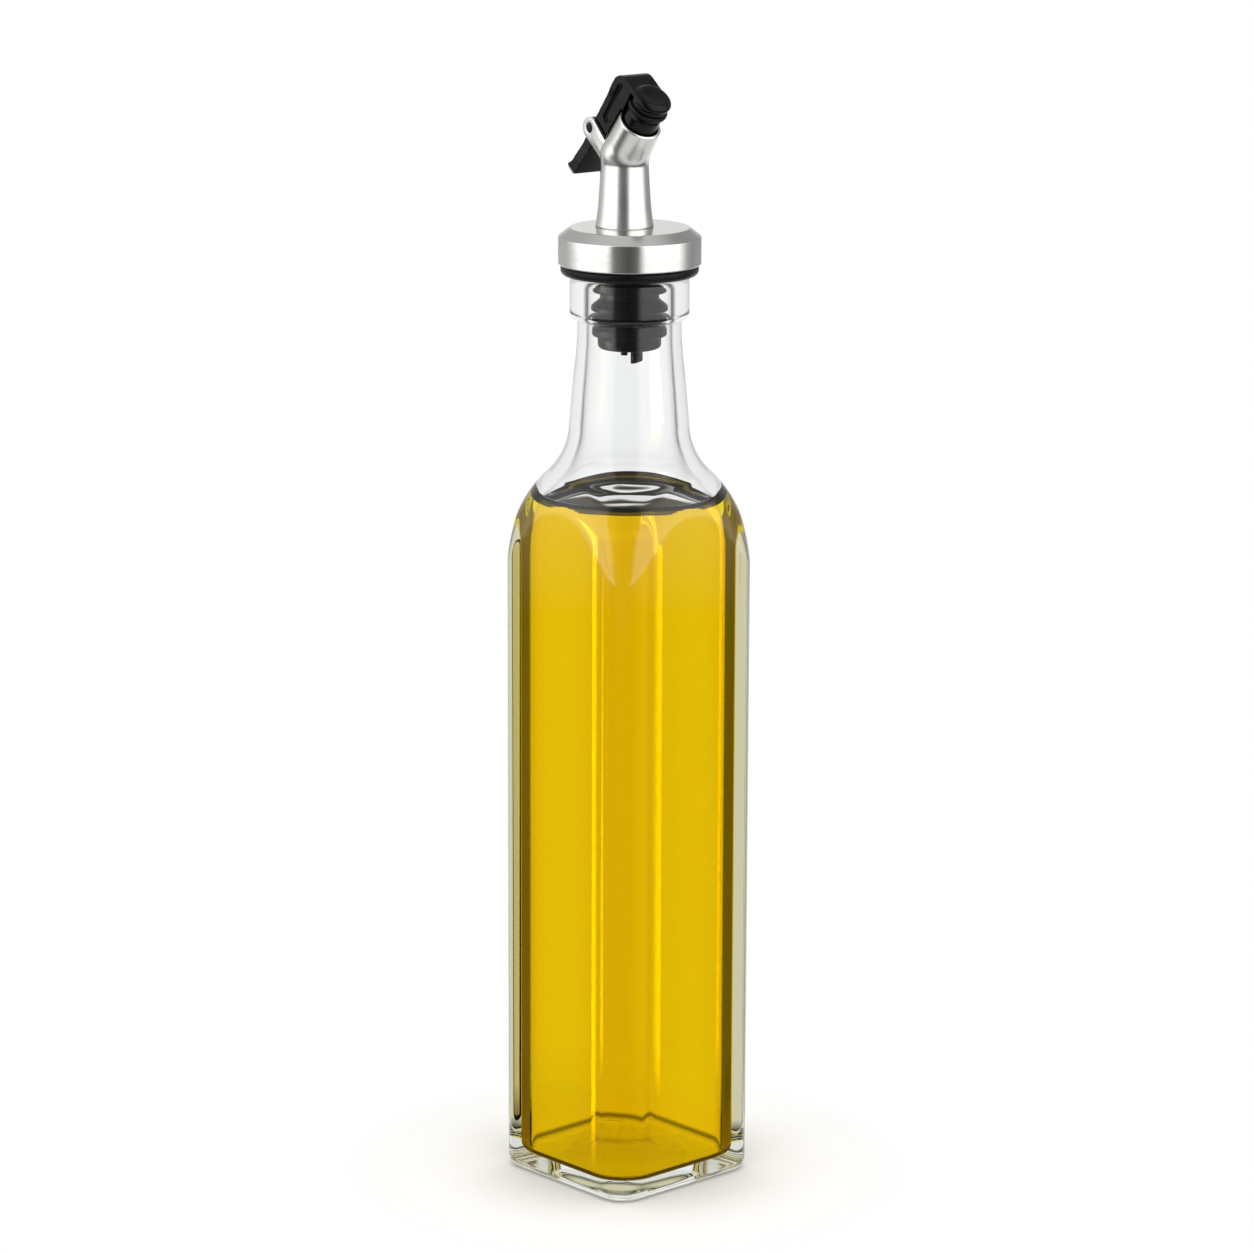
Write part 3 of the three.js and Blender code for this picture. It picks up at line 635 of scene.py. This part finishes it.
def spout_field(p):
    """How far a point lies outside the spout: the smooth least of its distances from two round
    bars, the column and the barrel, that share a ball at the elbow."""
    rise = np.minimum(p[..., 2], ELBOW_Z)
    column = np.sqrt((p[..., 0] - COLUMN_X) ** 2 + p[..., 1] ** 2 + (p[..., 2] - rise) ** 2)
    column -= np.interp(rise, COLUMN_Z, COLUMN_R)
    s, c = math.sin(BARREL_TILT), math.cos(BARREL_TILT)
    along = np.maximum((p[..., 0] - COLUMN_X) * s + (p[..., 2] - ELBOW_Z) * c, 0)
    off_x = p[..., 0] - COLUMN_X - along * s
    off_z = p[..., 2] - ELBOW_Z - along * c
    barrel = np.sqrt(off_x**2 + p[..., 1] ** 2 + off_z**2)
    barrel -= ELBOW_R + (MOUTH_R - ELBOW_R) * along / ELBOW_DEPTH
    share = np.maximum(CREASE - np.abs(column - barrel), 0) / CREASE
    return np.minimum(column, barrel) - share**2 * CREASE / 4


def make_spout():
    """Sections of the spout field: level ones up the column, a fan about a line in front of the
    elbow, and square ones up the barrel. Each point is found on its ray by halving."""
    s, c = math.sin(BARREL_TILT), math.cos(BARREL_TILT)
    start = FAN_REACH * math.tan(BARREL_TILT / 2)
    pivot_z = ELBOW_Z - start
    centres = [(COLUMN_X, z, 0.0) for z in np.linspace(COLUMN_FOOT, pivot_z, 36)]
    for lean in np.linspace(0, BARREL_TILT, 40)[1:]:
        if lean <= BARREL_TILT / 2:
            centres.append((COLUMN_X, pivot_z + FAN_REACH * math.tan(lean), lean))
        else:
            up = FAN_REACH * (math.tan(BARREL_TILT / 2) - math.tan(BARREL_TILT - lean))
            centres.append((COLUMN_X + up * s, ELBOW_Z + up * c, lean))
    for up in np.linspace(start, ELBOW_DEPTH - 0.1, 16)[1:]:
        centres.append((COLUMN_X + up * s, ELBOW_Z + up * c, BARREL_TILT))
    centres = np.array(centres)
    x, z, lean = centres[:, 0, None], centres[:, 1, None], centres[:, 2, None]
    t = np.linspace(0, 2 * math.pi, STEPS, endpoint=False)[None]
    way = np.stack([np.cos(t) * np.cos(lean), np.sin(t) + 0 * lean, -np.cos(t) * np.sin(lean)], -1)
    origin = np.stack([x + 0 * t, 0 * x + 0 * t, z + 0 * t], -1)
    near, far = np.zeros(way.shape[:2]), np.full(way.shape[:2], SECTION_REACH)
    for _ in range(32):
        middle = (near + far) / 2
        inside = spout_field(origin + middle[..., None] * way) < 0
        near, far = np.where(inside, middle, near), np.where(inside, far, middle)
    body = in_pourer(origin + near[..., None] * way)
    base = in_pourer(np.tile([[[COLUMN_X, 0, COLUMN_FOOT]]], (1, STEPS, 1)))
    return skin("spout_casting", np.concatenate([base, body, on_barrel(ring_grid(rounded(LIP)))]))


def make_ear(name, side):
    """A flat strap round the lever's pin: for each direction round the pin, a rounded rectangle
    between the hole and the strap's outline, which is an arc, a root in the casting and two sides."""
    c, s = math.cos(BARREL_TILT), math.sin(BARREL_TILT)
    x = MOUTH[0] + HINGE_ACROSS * c + HINGE_UP * s
    z = MOUTH[1] - HINGE_ACROSS * s + HINGE_UP * c
    end = arc(0, 0, EAR_R, 45 * DEG, 235 * DEG, 60)
    low, high = np.array(EAR_ROOTS) - (x, z)
    sides = [straight(end[-1], low, 20), [low], straight(low, high, 12), [high], straight(high, end[0], 20)]
    outline = np.concatenate([end, *sides])
    angle = np.arctan2(outline[:, 1], outline[:, 0])
    order = np.argsort(angle)
    t = np.linspace(-math.pi, math.pi, 144, endpoint=False)
    reach = np.interp(t, angle[order], np.hypot(*outline.T)[order], period=2 * math.pi)
    bend = np.linspace(0, math.pi / 2, 5)
    corner = list(zip(EAR_ROUND * (1 - np.cos(bend)), EAR_ROUND * (1 - np.sin(bend))))
    edge = [(b, EAR_IN + a) for a, b in corner] + [(b, EAR_OUT - a) for a, b in corner[::-1]]
    rows = [(reach - b, y) for b, y in edge] + [(PIN_HOLE_R + b + 0 * t, y) for b, y in edge[::-1]]
    grid = np.array([np.stack([x + r * np.cos(t), 0 * t + side * y, z + r * np.sin(t)], -1) for r, y in rows])
    return skin(name, in_pourer(grid), closed_rows=True)


finish_piece(make_spout(), spout_metal, "bottle", "cast_metal", "spout")
for label, side in (("near", -1), ("far", 1)):
    finish_piece(make_ear(f"hinge_ear_{label}", side), spout_metal, "bottle", "cast_metal")


# Nozzle, plug, knob and lever.

NOZZLE = [
    (0, -4), (1.5, -4, 0.1), (1.5, 4.6, 0.2), (2.0, 5.1, 0.2), (3.9, 5.1, 0.5), (4.6, 4.7, 0.4),
    (5.0, 3.9, 0.5), (5.1, 0.5, 0.1), (5.1, -6), (0, -6),
]
PLUG = [
    (0, 5.5), (5.35, 5.5, 0.3), (5.86, 5.9, 0.3), (5.86, 6.6, 0.3), (5.6, 6.95, 0.2), (4.85, 7.1, 0.15),
    (5.2, 7.4, 0.2), (5.2, 8.2, 0.15), (5.0, 8.45, 0.1), (0, 8.45),
]
KNOB = [
    (0, 8.7), (5.3, 8.7, 0.2), (5.6, 9.1, 0.3), (5.74, 9.65, 0.4), (5.5, 10.2, 0.5), (4.8, 10.8, 0.5),
    (3.9, 11.15, 0.4), (2.6, 10.85, 0.6), (1.0, 10.68, 0.4), (0, 10.66),
]

nozzle = skin("pouring_nozzle", on_barrel(ring_grid(rounded(NOZZLE))))
plug = skin("rubber_plug", on_barrel(ring_grid(rounded(PLUG))))
knob = skin("lever_knob", on_barrel(ring_grid(rounded(KNOB))))
finish_piece(nozzle, lever_plastic, "bottle", "black_plastic", "nozzle")
finish_piece(plug, stopper_rubber, "lever", "black_rubber", "plug")
finish_piece(knob, lever_plastic, "lever", "black_plastic")

LEVER_VOXEL = 0.16


def make_lever():
    """The lever's own solid with every edge softened as in a moulding: remeshed finely, and each
    point moved towards its neighbours' mean a few times."""
    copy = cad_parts["lever"].data.copy()
    copy.materials.clear()
    made = bmesh.new()
    made.from_mesh(copy)
    bmesh.ops.remove_doubles(made, verts=made.verts, dist=1e-6)
    made.to_mesh(copy)
    made.free()
    piece = bpy.data.objects.new("flip_lever", copy)
    bpy.context.scene.collection.objects.link(piece)
    fine = piece.modifiers.new("fine", "REMESH")
    fine.mode = "VOXEL"
    fine.voxel_size = LEVER_VOXEL * MM
    soft = piece.modifiers.new("soft", "SMOOTH")
    soft.factor = 0.5
    soft.iterations = 6
    shown = piece.evaluated_get(bpy.context.evaluated_depsgraph_get())
    mesh = bpy.data.meshes.new_from_object(shown)
    piece.modifiers.clear()
    piece.data = mesh
    mesh.shade_smooth()
    return piece


finish_piece(make_lever(), lever_plastic, "lever", "black_plastic", "lever")


# Floor, surroundings and camera.

CAMERA_AZIMUTH = 47.6 * DEG
CAMERA_AWAY = 1.391
CAMERA_HEIGHT = 0.490
CAMERA_PITCH = 13.14 * DEG
CAMERA_ROLL = 0.19 * DEG
FOCAL_PIXELS = 4891
FRAME_PIXELS = 1254
SENSOR_MM = 36
ASIDE_PIXELS = 1.5  # how far right of the frame's middle the bottle's axis stands

to_camera = Vector((math.sin(CAMERA_AZIMUTH), -math.cos(CAMERA_AZIMUTH), 0))
to_right = Vector((math.cos(CAMERA_AZIMUTH), math.sin(CAMERA_AZIMUTH), 0))


# The surroundings: brightness at angles right of the camera, in degrees.
LIGHT = 2.0  # the world's strength, by which its colours are divided
HIGH_ROOM = [
    (-180, 0.9), (-160, 0.5), (-124, 0.6), (-110, 0.9), (-86, 2.0), (-36, 2.0), (-27, 0.3), (-2, 0.11),
    (14, 0.2), (25, 2.0), (84, 2.0), (104, 0.6), (120, 0.36), (160, 0.36), (180, 0.9),
]
LOW_ROOM = [(-180, 1.0), (-140, 1.0), (-115, 0.05), (0, 0.02), (115, 0.05), (140, 1.0), (180, 1.0)]
GLASS_ROOM = [(-180, 0.95), (-135, 0.9), (-122, 0.12), (0, 0.06), (122, 0.12), (135, 0.9), (180, 0.95)]
OIL_ROOM = [
    (-180, 0.17), (-100, 0.15), (-90.5, 0.1), (-89.5, 14.0), (-66, 14.0), (-60, 0.1), (0, 0.04), (60, 0.1),
    (66, 1.2), (89, 1.2), (92, 0.12), (180, 0.14),
]
OIL_ROOM_HUE = (1.0, 0.74, 0.36)

# Where they change with height, as the sine of the angle above the horizon.
BENEATH = {"From Min": -0.6, "From Max": -0.42}
TABLE_EDGE = {"From Min": -0.225, "From Max": -0.16}
RISING = {"From Min": -0.03, "From Max": -0.01}
GLOOM = {"From Min": 0.19, "From Max": 0.22}
CEILING = {"From Min": 0.75, "From Max": 0.95}

TABLE_HALF = 0.6  # metres
TABLE_FADE = {"From Min": 0.04, "From Max": 0.085}  # metres from the bottle's axis


def round_room(pairs, hue=(1, 1, 1)):
    """A colour ramp's stops round the horizon, from pairs of an angle and a brightness."""
    return [((angle + 180) / 360, (*(value / LIGHT * h for h in hue), 1)) for angle, value in pairs]


def make_world():
    """A white surround. What the camera sees directly or straight through glass is plain white;
    what surfaces reflect is a studio: dark round the camera, a tall soft box on each side, and
    darker walls between those and a white back. Under the soft boxes the table's edge is dark. Light
    turned back inside the glass meets simpler walls, and where it also crossed the oil, a narrow
    bright strip on each side, or a pale band where it rises. The table is lit evenly, and light that
    reaches it through the glass comes as shadow rays and isn't counted a second time."""
    world = bpy.data.worlds.new("studio")
    bpy.context.scene.world = world
    world.use_nodes = True
    tree = world.node_tree
    tree.nodes.clear()
    path = add(tree, "ShaderNodeLightPath")
    way = add(tree, "ShaderNodeTexCoord").outputs["Generated"]
    right = add(tree, "ShaderNodeVectorMath", {"operation": "DOT_PRODUCT", 1: to_right}, _0=way)
    ahead = add(tree, "ShaderNodeVectorMath", {"operation": "DOT_PRODUCT", 1: to_camera}, _0=way)
    sides = {"_0": right.outputs["Value"], "_1": ahead.outputs["Value"]}
    angle = add(tree, "ShaderNodeMath", {"operation": "ARCTAN2"}, **sides)
    turn = add(tree, "ShaderNodeMapRange", {"From Min": -math.pi, "From Max": math.pi}, Value=angle)
    rise = add(tree, "ShaderNodeSeparateXYZ", None, Vector=way).outputs["Z"]

    # What surfaces reflect.
    high = add(tree, "ShaderNodeValToRGB", stops=round_room(HIGH_ROOM), Fac=turn)
    low = add(tree, "ShaderNodeValToRGB", stops=round_room(LOW_ROOM), Fac=turn)
    under = add(tree, "ShaderNodeMapRange", BENEATH, Value=rise)
    near = add(tree, "ShaderNodeMix", {**COLOURS, 6: grey(0.42)}, Factor=under, _7=low)
    level = add(tree, "ShaderNodeMapRange", TABLE_EDGE, Value=rise)
    both = add(tree, "ShaderNodeMix", COLOURS, Factor=level, _6=near.outputs[2], _7=high)
    over = add(tree, "ShaderNodeMapRange", CEILING, Value=rise)
    studio = add(tree, "ShaderNodeMix", {**COLOURS, 7: grey(0.35)}, Factor=over, _6=both.outputs[2])

    # What light meets that was turned back inside the glass, and there in the oil.
    turned = add(tree, "ShaderNodeValToRGB", stops=round_room(GLASS_ROOM), Fac=turn)
    oiled = add(tree, "ShaderNodeValToRGB", stops=round_room(OIL_ROOM, OIL_ROOM_HUE), Fac=turn)
    higher = add(tree, "ShaderNodeMapRange", GLOOM, Value=rise)
    levels = {**COLOURS, 6: grey(0.45), 7: (0.02, 0.016, 0.005, 1)}
    above = add(tree, "ShaderNodeMix", levels, Factor=higher)
    rising = add(tree, "ShaderNodeMapRange", RISING, Value=rise)
    skimmed = add(tree, "ShaderNodeMix", COLOURS, Factor=rising, _6=oiled, _7=above.outputs[2])
    dyed = add(tree, "ShaderNodeMath", THRICE, _0=path.outputs["Transmission Depth"])
    wall = add(tree, "ShaderNodeMix", COLOURS, Factor=dyed, _6=turned, _7=skimmed.outputs[2])
    again = add(tree, "ShaderNodeMath", TWICE, _0=path.outputs["Glossy Depth"])
    deep = add(tree, "ShaderNodeMix", {**COLOURS, 7: (0.4, 0.4, 0.39, 1)}, Factor=again, _6=wall.outputs[2])
    entered = add(tree, "ShaderNodeMath", ONCE, _0=path.outputs["Transmission Depth"])
    inner = add(tree, "ShaderNodeMix", COLOURS, Factor=entered, _6=studio.outputs[2], _7=deep.outputs[2])

    # What lights the table, and the plain white.
    diffuse = path.outputs["Is Diffuse Ray"]
    lit = add(tree, "ShaderNodeMix", {**COLOURS, 7: grey(0.55)}, Factor=diffuse, _6=inner.outputs[2])
    unturned = {"operation": "LESS_THAN", 1: 0.5}
    direct = add(tree, "ShaderNodeMath", unturned, _0=path.outputs["Glossy Depth"])
    crossing = path.outputs["Is Transmission Ray"]
    through = add(tree, "ShaderNodeMath", {"operation": "MULTIPLY"}, _0=crossing, _1=direct)
    camera = path.outputs["Is Camera Ray"]
    plain = add(tree, "ShaderNodeMath", {"operation": "MAXIMUM"}, _0=through, _1=camera)
    seen = add(tree, "ShaderNodeMix", {**COLOURS, 7: grey(0.5)}, Factor=plain, _6=lit.outputs[2])
    onward = add(tree, "ShaderNodeMath", ONCE, _0=path.outputs["Diffuse Depth"])
    twice = add(tree, "ShaderNodeMath", {"operation": "SUBTRACT"}, _0=onward, _1=diffuse)
    once = add(tree, "ShaderNodeMix", {**COLOURS, 7: grey(0)}, Factor=twice, _6=seen.outputs[2])
    light = add(tree, "ShaderNodeBackground", {"Strength": LIGHT}, Color=once.outputs[2])
    add(tree, "ShaderNodeOutputWorld", None, Surface=light)


def make_floor():
    """A white table that takes the bottle's soft shadow, and fades into the white surround. Seen
    through the oil it glows with painted light, standing in for the light that gathers there through the
    bottle, and is painted brown where the glass turned the light back."""
    material, tree = new_material("matt_white_table")
    matt = add(tree, "ShaderNodeBsdfDiffuse", {"Color": (0.9, 0.885, 0.83, 1)})
    glow = add(tree, "ShaderNodeEmission", {"Strength": 0.08})
    bare = add(tree, "ShaderNodeAddShader", None, _0=matt, _1=glow)
    path = add(tree, "ShaderNodeLightPath")
    oiled = add(tree, "ShaderNodeMath", THRICE, _0=path.outputs["Transmission Depth"])
    turned = add(tree, "ShaderNodeMath", ONCE, _0=path.outputs["Glossy Depth"])
    # painted light under the bottle: warm white, and brown where the glass turned the light back
    painted_light_hues = {**COLOURS, 6: (1.0, 0.94, 0.8, 1), 7: (0.25, 0.16, 0.05, 1)}
    hue = add(tree, "ShaderNodeMix", painted_light_hues, Factor=turned)
    painted_gathered_light = add(tree, "ShaderNodeEmission", None, Color=hue.outputs[2])
    lit = add(tree, "ShaderNodeMixShader", None, _0=oiled, _1=bare, _2=painted_gathered_light)
    clear = add(tree, "ShaderNodeBsdfTransparent")
    place = add(tree, "ShaderNodeTexCoord").outputs["Object"]
    away = add(tree, "ShaderNodeVectorMath", {"operation": "LENGTH"}, _0=place).outputs["Value"]
    fade = add(tree, "ShaderNodeMapRange", TABLE_FADE, Value=away)
    mixed = add(tree, "ShaderNodeMixShader", None, _0=fade, _1=lit, _2=clear)
    add(tree, "ShaderNodeOutputMaterial", None, Surface=mixed)
    mesh = bpy.data.meshes.new("table")
    corners = [(x * TABLE_HALF, y * TABLE_HALF, 0) for x, y in ((-1, -1), (1, -1), (1, 1), (-1, 1))]
    mesh.from_pydata(corners, [], [(0, 1, 2, 3)])
    mesh.materials.append(material)
    floor = bpy.data.objects.new("table", mesh)
    bpy.context.scene.collection.objects.link(floor)
    floor.visible_glossy = False


def make_camera():
    """The camera that was fitted to the bottle's corners: it stands CAMERA_AWAY from the axis, and
    turns a little so that the axis is ASIDE_PIXELS right of the middle."""
    data = bpy.data.cameras.new("camera")
    data.sensor_width = SENSOR_MM
    data.lens = FOCAL_PIXELS * SENSOR_MM / FRAME_PIXELS
    data.clip_start = 0.05
    camera = bpy.data.objects.new("camera", data)
    bpy.context.scene.collection.objects.link(camera)
    turn = CAMERA_AZIMUTH + ASIDE_PIXELS / FOCAL_PIXELS
    look = Matrix.Rotation(turn, 4, "Z") @ Matrix.Rotation(math.pi / 2 - CAMERA_PITCH, 4, "X")
    look = look @ Matrix.Rotation(CAMERA_ROLL, 4, "Z")
    camera.matrix_world = Matrix.Translation(to_camera * CAMERA_AWAY + Vector((0, 0, CAMERA_HEIGHT))) @ look
    bpy.context.scene.camera = camera


make_world()
make_floor()
make_camera()
bpy.context.scene.view_settings.view_transform = "Standard"
